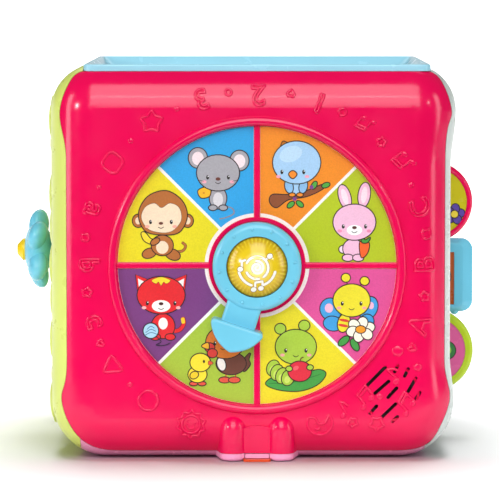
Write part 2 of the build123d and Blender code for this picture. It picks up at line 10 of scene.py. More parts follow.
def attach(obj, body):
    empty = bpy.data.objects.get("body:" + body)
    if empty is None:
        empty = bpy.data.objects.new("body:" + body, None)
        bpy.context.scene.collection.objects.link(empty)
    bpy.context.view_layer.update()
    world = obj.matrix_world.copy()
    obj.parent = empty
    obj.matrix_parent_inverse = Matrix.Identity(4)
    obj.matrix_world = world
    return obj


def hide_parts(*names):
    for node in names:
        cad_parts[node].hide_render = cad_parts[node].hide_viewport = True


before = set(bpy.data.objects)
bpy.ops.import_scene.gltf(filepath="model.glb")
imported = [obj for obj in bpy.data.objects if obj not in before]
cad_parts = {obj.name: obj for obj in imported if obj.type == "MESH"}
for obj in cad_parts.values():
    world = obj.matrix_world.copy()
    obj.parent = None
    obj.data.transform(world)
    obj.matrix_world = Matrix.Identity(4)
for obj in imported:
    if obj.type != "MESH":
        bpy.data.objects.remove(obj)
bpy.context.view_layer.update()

# Lengths are in millimetres except in materials, lights and the studio, which are in metres.
MM = 0.001
TAU = 2 * math.pi
FRONT_Y = -150.0
DIAL_Z = 151.5
LABEL_Y = -146.95
LAYER = 0.02
OUTLINE = 0.78
RAY_START = -400.0


# ---------------- materials


def rgb(code, gain=1.0):
    """Linear colour from a hex sRGB code."""
    out = []
    for k in (0, 2, 4):
        c = int(code[k:k + 2], 16) / 255
        c = c / 12.92 if c <= 0.04045 else ((c + 0.055) / 1.055) ** 2.4
        out.append(min(c * gain, 1.0))
    return (*out, 1.0)


class Shader:
    """A small wrapper that builds one material's node tree."""

    def __init__(self, name):
        self.mat = bpy.data.materials.new(name)
        self.mat.use_nodes = True
        self.nodes = self.mat.node_tree.nodes
        self.links = self.mat.node_tree.links
        self.bsdf = self.nodes["Principled BSDF"]
        coord = self.nodes.new("ShaderNodeTexCoord")
        self.place = coord.outputs["Object"]

    def add(self, kind, ins=None, **props):
        node = self.nodes.new("ShaderNode" + kind)
        for key, value in props.items():
            setattr(node, key, value)
        for key, value in (ins or {}).items():
            self.put(node.inputs[key], value)
        return node

    def put(self, socket, value):
        if isinstance(value, bpy.types.NodeSocket):
            self.links.new(value, socket)
        else:
            socket.default_value = value

    def feed(self, name, value):
        self.put(self.bsdf.inputs[name], value)

    def noise(self, scale, detail=3.0, rough=0.5):
        ins = {"Vector": self.place, "Scale": scale, "Detail": detail, "Roughness": rough}
        return self.add("TexNoise", ins).outputs["Fac"]

    def span(self, value, low, high, to_low=0.0, to_high=1.0):
        ins = {"Value": value, "From Min": low, "From Max": high, "To Min": to_low, "To Max": to_high}
        return self.add("MapRange", ins).outputs["Result"]

    def math(self, op, a, b=0.0):
        return self.add("Math", {0: a, 1: b}, operation=op).outputs[0]

    def mix(self, factor, a, b):
        """Mix of two colours; 6, 7 and output 2 are the node's colour sockets."""
        return self.add("Mix", {0: factor, 6: a, 7: b}, data_type="RGBA").outputs[2]

    def bump(self, height, strength, distance=0.0002, normal=None):
        ins = {"Height": height, "Strength": strength, "Distance": distance}
        if normal is not None:
            ins["Normal"] = normal
        return self.add("Bump", ins).outputs["Normal"]


def plastic(name, code, rough=0.24):
    """Glossy moulded plastic: faint flow mottling, orange-peel bump and uneven sheen."""
    s = Shader(name)
    flow = s.span(s.noise(14.0, 4.0), 0.3, 0.7)
    s.feed("Base Color", s.mix(flow, rgb(code, 0.96), rgb(code, 1.04)))
    smear = s.noise(55.0, 5.0, 0.65)
    s.feed("Roughness", s.span(smear, 0.3, 0.75, rough - 0.05, rough + 0.07))
    peel = s.bump(s.noise(420.0, 2.0), 0.08, 0.0002)
    s.feed("Normal", s.bump(s.noise(26.0, 2.0), 0.04, 0.0006, peel))
    return s.mat


def ink(name, code):
    """Printed label: fine tooth in the colour, with an uneven satin sheen."""
    s = Shader(name)
    tooth = s.span(s.noise(900.0, 2.0), 0.35, 0.65)
    s.feed("Base Color", s.mix(tooth, rgb(code, 0.95), rgb(code, 1.04)))
    s.feed("Roughness", s.span(s.noise(70.0, 4.0), 0.3, 0.7, 0.38, 0.5))
    s.feed("Normal", s.bump(s.noise(160.0, 2.0), 0.08, 0.0002))
    return s.mat


def metal(name, code, rough=0.28):
    """Plated steel: one fine streaky noise drives colour, sheen and bump."""
    s = Shader(name)
    streak = s.noise(240.0, 6.0, 0.7)
    s.feed("Base Color", s.mix(s.span(streak, 0.3, 0.7), rgb(code, 0.85), rgb(code, 1.1)))
    s.feed("Metallic", 1.0)
    s.feed("Roughness", s.span(streak, 0.3, 0.7, rough, rough + 0.18))
    s.feed("Normal", s.bump(streak, 0.15, 0.0001))
    return s.mat


def matte(name, code, rough):
    """Dull plastic, board or paper: flecked colour and a light texture."""
    s = Shader(name)
    fleck = s.noise(300.0, 5.0, 0.6)
    s.feed("Base Color", s.mix(s.span(fleck, 0.3, 0.7), rgb(code, 0.85), rgb(code, 1.12)))
    s.feed("Roughness", s.span(s.noise(40.0, 4.0), 0.3, 0.7, rough - 0.1, rough + 0.12))
    s.feed("Normal", s.bump(fleck, 0.25, 0.0002))
    return s.mat


def lens_material():
    """Tinted dome: bright middle with a painted glow that also emits weakly, faceted amber ring with painted
    glints and a brown rim.
    """
    painted_glow_radius, ring_radii, rim_radii, facets = 0.0125, (0.0150, 0.0205), (0.0218, 0.0232), 44.0
    s = Shader("button_tint_and_painted_glow")
    parts = s.add("SeparateXYZ", {"Vector": s.place})
    x = parts.outputs["X"]
    z = s.math("SUBTRACT", parts.outputs["Z"], DIAL_Z * MM)
    r = s.math("SQRT", s.math("ADD", s.math("MULTIPLY", x, x), s.math("MULTIPLY", z, z)))
    angle = s.math("ARCTAN2", z, x)
    facet = s.math("SINE", s.math("MULTIPLY", angle, facets))
    sparkle = s.noise(330.0, 3.0, 0.7)
    ring = s.span(r, *ring_radii)
    rim = s.span(r, *rim_radii)
    # Painted glow: the middle is coloured lighter, standing in for light through the dome.
    glow = s.span(r, 0.0, painted_glow_radius, 1.0, 0.0)
    # Painted glints: the amber ring is lighter where the facet and sparkle noise meet.
    painted_glint = s.math("MULTIPLY", s.span(facet, -0.4, 0.9), s.span(sparkle, 0.36, 0.66))
    body = s.mix(glow, rgb("E8C81C"), rgb("FFF6A8"))
    amber = s.mix(painted_glint, rgb("CBA014"), rgb("F0DC3C"))
    tone = s.mix(s.math("MULTIPLY", ring, 0.85), body, amber)
    s.feed("Base Color", s.mix(s.math("MULTIPLY", rim, 0.6), tone, rgb("9A6410")))
    s.feed("Roughness", s.span(sparkle, 0.3, 0.7, 0.13, 0.2))
    s.feed("Coat Weight", 0.15)
    s.feed("Coat Roughness", 0.06)
    s.feed("Normal", s.bump(s.math("MULTIPLY", facet, ring), 0.12, 0.0003))
    # Painted glow: the middle also emits weakly, though the dome is no lamp.
    s.feed("Emission Color", s.mix(glow, rgb("D8B010"), rgb("FFF3A0")))
    s.feed("Emission Strength", s.math("MULTIPLY", glow, 0.35))
    return s.mat


MAGENTA = plastic("magenta_plastic", "EA0052", rough=0.17)
GREEN = plastic("green_plastic", "D8E472", rough=0.3)
WHITE = plastic("white_plastic", "D2DCD7", rough=0.28)
BLUE = plastic("blue_plastic", "72CAE6", rough=0.2)
PINK = plastic("pink_plastic", "FFAAD2", rough=0.26)
SKY = plastic("sky_plastic", "A2E0F4", rough=0.24)
LILAC = plastic("lilac_plastic", "8A5CC0", rough=0.24)
LIME = plastic("lime_plastic", "B9D326", rough=0.22)
YELLOW = plastic("yellow_plastic", "F6D21E", rough=0.22)
ORANGE = plastic("orange_plastic", "E2501C", rough=0.24)
OCHRE = plastic("ochre_plastic", "B8541C", rough=0.28)
OLIVE = plastic("olive_plastic", "D6C814", rough=0.26)
ROSE = plastic("rose_plastic", "E0609C", rough=0.26)
LENS = lens_material()
INNER = matte("inner_plastic", "D2D4CE", 0.5)
BLACK = matte("black_plastic", "1C1C20", 0.5)
BOARD = matte("circuit_board", "145A2C", 0.4)
CONE = matte("cone_paper", "1A1A1A", 0.8)
STEEL = metal("plated_steel", "C6C8CC")
CELL = plastic("cell_jacket", "2A2C34", rough=0.3)

NODE_MATERIALS = {
    "front_shell": MAGENTA, "back_shell": LILAC, "left_shell": GREEN, "right_shell": WHITE,
    "top_shell": SKY, "base_shell": PINK, "sorter_plate": BLUE, "sorter_collar_circle": YELLOW,
    "sorter_collar_square": MAGENTA, "sorter_collar_triangle": LIME, "sorter_collar_star": ORANGE,
    "dial_labels": ink("ink_white", "F6F4EE"), "pointer": BLUE, "pointer_clip": INNER,
    "button_lens": LENS, "button_plunger": INNER, "button_guide": INNER, "button_spring": INNER,
    "main_board": BOARD, "button_switch": BLACK, "button_lamps": YELLOW, "board_components": BLACK,
    "board_posts": INNER, "speaker_basket": BLACK, "speaker_cone": CONE, "speaker_magnet": STEEL,
    "speaker_lead": BLACK, "battery_lead": BLACK, "module_cover": INNER, "case_screws": STEEL,
    "battery_box": INNER, "battery_cells": CELL, "battery_contacts": STEEL, "battery_door": PINK,
    "battery_screw": STEEL, "flip_disc_top": MAGENTA, "flip_inset_top": OLIVE,
    "flip_tile_mid": BLUE, "flip_inset_mid": OCHRE, "flip_disc_low": LIME, "flip_inset_low": ROSE,
    "flip_axle": STEEL, "flip_spacers": INNER, "flower_petals": BLUE, "flower_nose": YELLOW,
    "flower_washer": STEEL, "flower_screw": STEEL, "hatch_door": PINK, "hatch_pin": STEEL,
    "latch_tab": ORANGE, "latch_spring": STEEL, "clock_label": ink("ink_clock", "FBF3C8"),
    "clock_hand": YELLOW, "clock_clip": INNER, "volume_knob": ORANGE, "volume_switch": BLACK,
}
for node_name, material in NODE_MATERIALS.items():
    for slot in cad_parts[node_name].material_slots:
        slot.material = material


# ---------------- mesh helpers


def riding(name, mesh, body):
    """Object of a mesh that rides on a body."""
    obj = bpy.data.objects.new(name, mesh)
    bpy.context.scene.collection.objects.link(obj)
    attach(obj, body)
    return obj


def piece(name, verts, faces, mats, body, index=None, smooth=True):
    """A mesh piece from millimetre vertices, with outward normals, riding on a body."""
    mesh = bpy.data.meshes.new(name)
    mesh.from_pydata([tuple(c * MM for c in v) for v in verts], [], faces)
    for mat in mats:
        mesh.materials.append(mat)
    if index:
        mesh.polygons.foreach_set("material_index", index)
    work = bmesh.new()
    work.from_mesh(mesh)
    bmesh.ops.recalc_face_normals(work, faces=work.faces)
    work.to_mesh(mesh)
    work.free()
    mesh.polygons.foreach_set("use_smooth", [smooth] * len(mesh.polygons))
    return riding(name, mesh, body)


def mesh_of(curve):
    """Mesh of a curve or of text."""
    maker = bpy.data.objects.new(curve.name, curve)
    bpy.context.scene.collection.objects.link(maker)
    bpy.context.view_layer.update()
    mesh = bpy.data.meshes.new_from_object(maker)
    bpy.data.objects.remove(maker)
    return mesh


def tubes(name, runs, radius, mat, body):
    """Round cords of plastic along point runs given as (points, closed)."""
    curve = bpy.data.curves.new(name, "CURVE")
    curve.dimensions = "3D"
    curve.bevel_depth = radius * MM
    curve.bevel_resolution = 2
    curve.use_fill_caps = True
    for points, closed in runs:
        spline = curve.splines.new("POLY")
        spline.points.add(len(points) - 1)
        for spot, p in zip(spline.points, points):
            spot.co = (p[0] * MM, p[1] * MM, p[2] * MM, 1.0)
        spline.use_cyclic_u = closed
    mesh = mesh_of(curve)
    mesh.name = name
    mesh.materials.clear()
    mesh.materials.append(mat)
    mesh.polygons.foreach_set("use_smooth", [True] * len(mesh.polygons))
    return riding(name, mesh, body)


def closed_faces(rings, count):
    """Faces of a closed bump: bands between rings, then the tips past the last and the first ring."""
    faces = []
    for r in range(rings - 1):
        for k in range(count):
            n = (k + 1) % count
            faces.append((r * count + k, r * count + n, (r + 1) * count + n, (r + 1) * count + k))
    last, tip = (rings - 1) * count, rings * count
    for k in range(count):
        n = (k + 1) % count
        faces += [(last + k, last + n, tip), (k, n, tip + 1)]
    return faces


def oval(cx, cy, rx, ry=None, turn=0.0, count=30):
    """Points round an ellipse, or round a circle when only one radius is given."""
    ry = rx if ry is None else ry
    c, s = math.cos(math.radians(turn)), math.sin(math.radians(turn))
    out = []
    for k in range(count):
        a, b = rx * math.cos(TAU * k / count), ry * math.sin(TAU * k / count)
        out.append((cx + a * c - b * s, cy + a * s + b * c))
    return out


def arc_points(r, start, end):
    """Arc about the origin, from one angle to another in degrees."""
    angles = [math.radians(start + (end - start) * k / 24) for k in range(25)]
    return [(r * math.cos(a), r * math.sin(a)) for a in angles]


def rounded(points, steps=6, closed=True):
    """Smooth curve through the points."""
    n = len(points)
    out = []
    for k in range(n if closed else n - 1):
        near = [k + j for j in (-1, 0, 1, 2)]
        p = [points[i % n] if closed else points[min(max(i, 0), n - 1)] for i in near]
        for i in range(steps):
            t = i / steps
            row = []
            for axis in range(2):
                a, b, c, d = (q[axis] for q in p)
                row.append(0.5 * (2 * b + (c - a) * t + (2 * a - 5 * b + 4 * c - d) * t**2
                                  + (3 * b - a - 3 * c + d) * t**3))
            out.append(tuple(row))
    if not closed:
        out.append(points[-1])
    return out


def signed_area(points):
    n = len(points)
    return 0.5 * sum(points[k][0] * points[(k + 1) % n][1] - points[(k + 1) % n][0] * points[k][1]
                     for k in range(n))


def heading(a, b):
    """Unit direction from one point to another."""
    tx, ty = b[0] - a[0], b[1] - a[1]
    size = math.hypot(tx, ty) or 1.0
    return tx / size, ty / size


def grown(points, by):
    """Outline moved outward by a width."""
    n = len(points)
    sign = 1.0 if signed_area(points) > 0 else -1.0
    out = []
    for k in range(n):
        tx, ty = heading(points[k - 1], points[(k + 1) % n])
        out.append((points[k][0] + sign * ty * by, points[k][1] - sign * tx * by))
    return out


def ribbon(points, width):
    """Closed outline of a line of some width with narrowed ends."""
    left, right = [], []
    n = len(points)
    for k in range(n):
        tx, ty = heading(points[max(k - 1, 0)], points[min(k + 1, n - 1)])
        half = width / 2 * (0.55 if k in (0, n - 1) else 1.0)
        left.append((points[k][0] - ty * half, points[k][1] + tx * half))
        right.append((points[k][0] + ty * half, points[k][1] - tx * half))
    return left + right[::-1]


INKS = {}


def get_ink(code):
    """One ink material per colour code."""
    if code not in INKS:
        INKS[code] = ink("ink_" + code.lower(), code)
    return INKS[code]


class Print:
    """Flat printed shapes on a face, each a thin closed plate whose top is just above the last."""

    def __init__(self, place, line="22100C"):
        self.place, self.line = place, line
        self.verts, self.faces, self.index, self.codes = [], [], [], []
        self.level = 0

    def plate(self, outline, code):
        self.level += 1
        if code not in self.codes:
            self.codes.append(code)
        n, base = len(outline), len(self.verts)
        for height in (self.level * LAYER, 0.0):
            self.verts += [self.place(u, v, height) for u, v in outline]
        flat = [Vector((u, v, 0)) for u, v in outline]
        caps = tessellate_polygon([flat])
        new = [tuple(base + i for i in tri) for tri in caps]
        new += [tuple(base + n + i for i in reversed(tri)) for tri in caps]
        new += [(base + k, base + (k + 1) % n, base + n + (k + 1) % n, base + n + k) for k in range(n)]
        self.faces += new
        self.index += [self.codes.index(code)] * len(new)

    def shape(self, outline, code, line=OUTLINE):
        if line:
            self.plate(grown(outline, line), self.line)
        self.plate(outline, code)

    def oval(self, cx, cy, rx, ry, code, turn=0.0, line=OUTLINE):
        self.shape(oval(cx, cy, rx, ry, turn), code, line)

    def blob(self, points, code, line=OUTLINE):
        self.shape(rounded(points), code, line)

    def dot(self, cx, cy, rx, ry, code, turn=0.0):
        self.plate(oval(cx, cy, rx, ry, turn, 20), code)

    def stroke(self, points, width=0.45, code=None):
        self.plate(ribbon(rounded(points, 5, closed=False), width), code or self.line)

    def face(self, x, y, gap, blush=None, eye=(1.15, 1.7)):
        """Two plain eyes and a smile about a point, with cheeks if a blush is given."""
        for side in (-1, 1):
            self.dot(x + side * gap, y + 1.6, *eye, "1E1210")
            self.dot(x + side * gap + 0.4, y + 2.3, 0.38, 0.5, "FFFFFF")
            if blush:
                self.dot(x + side * (gap + 2.6), y - 1.9, 1.8, 1.2, blush)
        self.stroke([(x - 2.2, y - 2.2), (x, y - 3.3), (x + 2.2, y - 2.2)], 0.5)

    def finish(self, name, body, slot):
        mats = [get_ink(code) for code in self.codes]
        return piece(name, self.verts, self.faces, mats, body, self.index, smooth=False)


def on_dial(u, v, h):
    """Place on the dial's labels."""
    return (u, LABEL_Y - h, DIAL_Z + v)


# ---------------- dial pictures


LABEL_RADII = (40.4, 107.3)
RIB_TRIM, WHITE_LINE_TRIM = 2.6, 1.15


def sector_outline(start):
    """Eighth of the dial, trimmed by half a rib on one side and half a white line on the other."""
    out = []
    inner, outer = LABEL_RADII
    trims = [RIB_TRIM if (start + side) % 90 == 0 else WHITE_LINE_TRIM for side in (0, 45)]
    for r, order in ((outer, 1), (inner, -1)):
        low = math.radians(start) + math.asin(trims[0] / r)
        high = math.radians(start + 45) - math.asin(trims[1] / r)
        arc = [low + (high - low) * k / 14 for k in range(15)][::order]
        out += [(r * math.cos(a), r * math.sin(a)) for a in arc]
    return out


def mouse(p):
    grey, pale = "A7A5AC", "F6E3E8"
    p.stroke([(-25, 46), (-19, 44), (-18, 40), (-24, 37), (-29, 36)], 1.0, "8E8A92")
    p.oval(-30, 52, 6.4, 8.2, grey)
    p.dot(-30, 51, 3.9, 5.4, "DAD6DA")
    p.oval(-34, 44.6, 3.0, 1.8, grey)
    p.oval(-26, 44.6, 3.0, 1.8, grey)
    p.blob([(-45, 58), (-37, 60.5), (-36.5, 54), (-43, 52.5)], "F8B81C")
    p.dot(-41, 56, 0.9, 0.8, "D88A10")
    for x, y in ((-45.5, 83), (-13.5, 81)):
        p.oval(x, y, 7.0, 7.6, grey)
        p.dot(x, y - 0.4, 4.5, 5.2, pale)
    p.oval(-30, 71.5, 16.2, 13.6, grey)
    p.face(-30, 66.5, 8.0, "F2A8B8")
    p.dot(-30, 66.8, 1.9, 1.3, "6A3428")
    for side in (-1, 1):
        p.stroke([(-30 + side * 11, 65), (-30 + side * 15, 66)], 0.35)


def bird(p):
    blue = "A4CDF0"
    branch = [(10, 49), (12, 54.5), (24, 54.5), (38, 57.5), (51, 62.5), (50, 59), (38, 53.5), (24, 51),
              (15, 45)]
    p.blob(branch, "8C4A24")
    for x, y, turn in ((53, 62, 20), (33, 47.5, -40), (26, 47, 40), (44, 62, 60)):
        p.oval(x, y, 3.0, 1.6, "4CA83C", turn)
    for x, y in ((29, 51.5), (42, 60.5)):
        p.dot(x, y, 1.6, 1.6, "7A3A8C")
    p.oval(30, 61, 7.8, 6.8, blue)
    p.oval(24.6, 61, 2.9, 5.0, "8ABCE6", 12)
    p.oval(35.6, 61, 2.9, 5.0, "8ABCE6", -12)
    for x in (27, 33):
        p.oval(x, 54.6, 2.2, 1.2, "F08A1C")
    p.oval(30.5, 79.5, 18.2, 16.2, blue)
    p.dot(26, 86, 9, 6, "BBDCF6", 20)
    p.face(27.5, 70.6, 8.4, "F4A6BC")
    p.blob([(24.6, 70.5), (27.5, 73), (30.4, 70.5), (27.5, 67.4)], "F28A18")
    p.stroke([(18, 92), (20, 96), (24, 94.5)], 0.6)


def rabbit(p):
    pink = "F2BEDA"
    for x, y, turn in ((67.5, 53, 16), (82.5, 54.5, -8)):
        p.oval(x, y, 4.4, 9.4, pink, turn)
        p.dot(x, y, 2.3, 6.6, "FBE2EE", turn)
    p.oval(66, 12.5, 2.6, 2.6, "FBE2EE")
    p.oval(74, 13, 7.6, 7.2, pink)
    p.oval(70, 6, 4.0, 2.4, pink)
    p.oval(78, 6, 4.0, 2.4, pink)
    p.blob([(79.5, 18), (86, 17.5), (85, 10), (80.5, 6.5)], "F0601C")
    p.blob([(81, 18), (81, 22), (83.5, 19.5), (87, 21.5), (85, 18)], "3F9A38")
    p.oval(75, 33.5, 16.2, 13.6, pink)
    p.dot(75, 27.4, 6.0, 4.0, "FFFFFF")
    p.face(75, 28.6, 8.6, "F08CB4")
    p.dot(75, 29.3, 1.8, 1.2, "5A2A28")


def butterfly(p):
    yellow = "E9DC26"
    wings = ((57, -34, 8, 8.6, 30), (58.5, -45, 7, 5.4, -10), (86, -33, 6.6, 9, -24), (85, -43, 5, 5, 0))
    for x, y, rx, ry, turn in wings:
        p.oval(x, y, rx, ry, "3C9FDE", turn)
    p.dot(55.5, -33, 3.2, 3.6, "F2B8D2")
    p.dot(88, -31, 2.2, 2.8, "F2B8D2")
    for tip, root in (((68.5, -9.5), (70, -16)), ((83, -12), (78, -17))):
        p.stroke([root, tip], 0.7)
        p.oval(*tip, 3.2, 3.0, yellow)
    p.oval(67, -44.5, 4.4, 7.0, yellow, -14)
    for y in (-42.5, -46.5):
        p.dot(67 + (y + 44.5) * 0.2, y, 4.0, 1.1, "D8362C", -10)
    p.oval(73, -27, 14.0, 12.4, yellow)
    p.face(73, -31, 7.2, "F3A59C")
    for x, y, turn in ((67, -58.5, 40), (75.5, -61.5, -60)):
        p.oval(x, y, 4.8, 2.4, "3C9C40", turn)
    for k in range(6):
        a = TAU * k / 6 + 0.3
        p.oval(80 + 6.6 * math.cos(a), -49.5 + 5.2 * math.sin(a), 4.4, 3.7, "FFF6E2", math.degrees(a))
    p.oval(80, -49.5, 3.6, 2.6, "F49A1C")


def inchworm(p):
    green = "A6C93A"
    leaf_edge = [(7, -92), (14, -86.5), (32, -85), (47, -81), (53, -84), (47, -92), (34, -97), (18, -96.5)]
    p.blob(leaf_edge, "3D9E3E")
    p.stroke([(9, -91.5), (28, -90.5), (50, -84)], 0.6, "2A7A30")
    for x, y in ((12.5, -79.5), (15.5, -83), (19.5, -85.5), (24, -87)):
        p.oval(x, y, 4.6, 6.0, green, -20)
        p.dot(x - 0.6, y - 1.4, 2.2, 3.0, "C9DF62", -20)
    for tip, root in (((18, -49), (21, -54)), ((36.5, -46.5), (34, -52.5))):
        p.stroke([root, tip], 0.7)
        p.oval(*tip, 4.0, 3.8, green)
    p.oval(30, -63, 15.6, 13.2, green)
    p.face(30, -67.5, 7.8, "E9A59A")
    p.oval(33, -82, 8.8, 7.6, "DA1F38")
    p.dot(30, -79.5, 2.4, 1.6, "EE5A66", 30)
    p.stroke([(33, -75), (34, -72), (36, -71)], 0.8, "6A3A1C")
    p.oval(24.8, -80, 2.2, 1.7, green)
    p.oval(41, -79, 2.2, 1.7, green)


def hen_and_chick(p):
    brown, yellow = "6E3A2A", "F3DC2C"
    p.blob([(-12, -76), (-5.5, -68), (-6.5, -73), (-5.5, -77), (-10, -82)], brown)
    for x in (-24, -16.5):
        p.stroke([(x, -82), (x, -88)], 1.0, "D8442E")
        p.oval(x - 1, -88.8, 4.2, 2.0, "E2503A")
    p.oval(-20, -76, 11.4, 8.4, brown)
    p.oval(-27.5, -76.5, 3.0, 5.0, "F4EEE6", 14)
    p.oval(-24.5, -59.5, 14.8, 12.4, "E27A22")
    for x, y in ((-36.5, -63.5), (-34.5, -68)):
        p.oval(x, y, 3.6, 3.2, "D8362C")
    p.blob([(-38, -60), (-42.5, -62.5), (-37.5, -64.5)], "F0B020")
    p.face(-26, -62, 6.5)
    for x in (-49, -42.5):
        p.oval(x, -91.6, 2.8, 1.3, "E2503A")
    p.oval(-46, -84.5, 7.0, 6.0, yellow)
    p.oval(-43.8, -75.2, 7.6, 6.8, yellow)
    p.oval(-48.5, -85, 3.2, 2.4, "E8C81C", 30)
    p.blob([(-37.2, -74), (-34, -75.6), (-37.2, -77)], "E0502C", 0.3)
    p.dot(-41, -74.4, 0.8, 1.2, "1E1210")


def cat(p):
    red = "E21A24"
    tail = [(-66, -51), (-60, -50), (-56.5, -45), (-57.5, -40)]
    p.stroke(tail, 3.6, "3B1F18")
    p.stroke(tail, 2.8, red)
    p.stroke([(-56.8, -45), (-57.5, -40.4)], 2.8, "F2C81E")
    p.oval(-72.5, -47, 8.8, 9.4, red)
    p.dot(-72.5, -45, 3.6, 4.6, "FFF4EC")
    p.oval(-67, -55.4, 3.6, 2.2, red)
    p.oval(-78.5, -55.4, 3.6, 2.2, red)
    for side in (-1, 1):
        x = -74 + side * 15.5
        p.shape([(x + side * 4.0, -7.2), (x - side * 5.5, -11), (x + side * 2.4, -21)][::side], red)
        p.plate([(x + side * 2.4, -10), (x - side * 2.4, -12.4), (x + side * 1.6, -17)][::side], "FFF0EE")
    p.oval(-74, -23, 18.2, 14.2, red)
    tuft = [(-81, -11.5), (-74, -9), (-67, -11.5), (-70, -14), (-72, -12.6), (-74, -15.4), (-76, -12.6),
            (-78, -14)]
    p.blob(tuft, "F4D82A", 0.25)
    p.dot(-74, -31.4, 7.2, 4.6, "FFF8F2")
    p.face(-74, -30.8, 10.6, "F8B4B4")
    p.dot(-74, -29.6, 1.8, 1.2, "4A1A18")
    p.oval(-82, -50.5, 5.6, 5.6, "A9D8EE")
    for k in (-1, 0, 1):
        p.stroke([(-86 + k, -52 + k * 2.4), (-82, -49.5 + k * 2.4), (-78 - k, -51 + k * 2.4)], 0.5, "2C6C9C")
    p.stroke([(-78, -55), (-74, -59), (-78, -61.5), (-72, -62), (-67, -60)], 0.6, "2C1838")


def monkey(p):
    brown, skin = "B5692C", "F7DDBE"
    tail = [(-66, 11), (-58, 11), (-55, 15), (-58, 18)]
    p.stroke(tail, 2.2, "3B1F18")
    p.stroke(tail, 1.5, brown)
    for x in (-91.5, -53.5):
        p.oval(x, 34.5, 4.2, 4.8, brown)
        p.dot(x, 34.5, 2.3, 2.8, skin)
    p.oval(-83, 9.5, 5.4, 3.4, brown, 20)
    p.oval(-65, 8.5, 5.8, 3.8, brown, -24)
    p.oval(-73, 15.5, 8.2, 7.6, brown)
    p.dot(-73, 14, 4.8, 5.0, skin)
    p.blob([(-89, 24.5), (-86.5, 19), (-80, 16.5), (-76.5, 19), (-82, 20.5), (-86.5, 25.5)], "F8DA2C")
    p.oval(-78.5, 18.5, 3.6, 2.0, brown, 30)
    p.blob([(-91, 40), (-84, 53), (-70, 57.5), (-58, 50), (-54, 38), (-60, 26), (-73, 24), (-86, 27)], brown)
    mask = [(-89, 37), (-86, 45), (-79, 48), (-73.5, 44.5), (-67, 48), (-60, 44.5), (-58.5, 35), (-65, 27),
            (-74, 25.5), (-84, 28.5)]
    p.blob(mask, skin, 0.25)
    p.face(-74, 32, 8.0, "F3AE9A")
    p.dot(-74, 32.6, 1.7, 1.1, "6A3424")


# Name, start angle, ground colour, picture.
SECTORS = [
    ("rabbit", 0, "B3C60E", rabbit), ("bird", 45, "F08C14", bird), ("mouse", 90, "27A3E4", mouse),
    ("monkey", 135, "E9DA10", monkey), ("cat", 180, "78377E", cat), ("hen", 225, "A6C236", hen_and_chick),
    ("inchworm", 270, "E6D818", inchworm), ("butterfly", 315, "DD4E96", butterfly),
]
for name, start, ground, draw in SECTORS:
    art = Print(on_dial)
    art.plate(sector_outline(start), ground)
    draw(art)
    art.finish("dial_print_" + name, "cube_body", "printed_label")


# ---------------- relief on the front panel


def surface_of(node):
    """Search tree over a CAD node's surface."""
    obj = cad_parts[node]
    return BVHTree.FromPolygons([obj.matrix_world @ v.co for v in obj.data.vertices],
                                [tuple(p.vertices) for p in obj.data.polygons])


def cast(tree, start, ray):
    """Point in millimetres and outward normal where a ray meets a surface."""
    hit, normal, _, _ = tree.ray_cast(Vector(start) * MM, Vector(ray))
    if hit is None:
        return None, None
    if normal.dot(Vector(ray)) > 0:
        normal = -normal
    return hit / MM, normal


def dense(points, closed=True, step=0.8):
    """The same line with points at most about a step apart."""
    out = []
    n = len(points)
    for k in range(n if closed else n - 1):
        a, b = points[k], points[(k + 1) % n]
        count = max(1, int(math.dist(a, b) / step))
        out += [(a[0] + (b[0] - a[0]) * i / count, a[1] + (b[1] - a[1]) * i / count) for i in range(count)]
    if not closed:
        out.append(points[-1])
    return out


def scaled(points, size):
    """Points of a unit outline at a size."""
    return [(x * size, y * size) for x, y in points]


def polygon_loop(sides, r, turn=0.0):
    angles = [TAU * k / sides + turn for k in range(sides)]
    return [(r * math.cos(a), r * math.sin(a)) for a in angles]


def star_loop(r, inner, tips, turn=0.0):
    """Zigzag between a radius and a share of it."""
    far, near = polygon_loop(tips, r, turn), polygon_loop(tips, r * inner, turn + TAU / tips / 2)
    return [point for pair in zip(far, near) for point in pair]


def welded(mesh):
    """Editable copy of a mesh with doubled vertices merged."""
    work = bmesh.new()
    work.from_mesh(mesh)
    bmesh.ops.remove_doubles(work, verts=work.verts, dist=1e-5)
    return work


def letter_loops(text, height):
    """Outline loops of one bold generic character, centred and scaled to a height."""
    data = bpy.data.curves.new("glyph", "FONT")
    data.body, data.size, data.offset = text, 20.0, 0.24
    data.resolution_u = 4
    work = welded(mesh_of(data))
    follow = {}
    for edge in work.edges:
        if len(edge.link_faces) == 1:
            a, b = edge.verts
            follow.setdefault(a.index, []).append(b.index)
            follow.setdefault(b.index, []).append(a.index)
    where = {v.index: (v.co.x, v.co.y) for v in work.verts}
    work.free()
    xs = [where[k][0] for k in follow]
    ys = [where[k][1] for k in follow]
    mid = ((min(xs) + max(xs)) / 2, (min(ys) + max(ys)) / 2)
    scale = height / (max(ys) - min(ys))
    loops, left = [], set(follow)
    while left:
        start = min(left)
        loop, last, here = [start], None, start
        while True:
            left.discard(here)
            ahead = [k for k in follow[here] if k != last and (k in left or k == start)]
            if not ahead or ahead[0] == start:
                break
            last, here = here, ahead[0]
            loop.append(here)
        if len(loop) > 3:
            loops.append([((where[k][0] - mid[0]) * scale, (where[k][1] - mid[1]) * scale) for k in loop])
    return loops


def cord(points, closed=True):
    """Mark: a raised line."""
    return ("cord", points, closed)


def bump(u, v, rx, ry, turn=0):
    """Mark: a low dome."""
    return ("bump", u, v, rx, ry, turn)


def star(size):
    return [cord(rounded(star_loop(size, 0.66, 5, TAU / 4), 4))]


def dot(size):
    return [bump(0, 0, size, size)]


def ring(size):
    return [cord(oval(0, 0, size))]


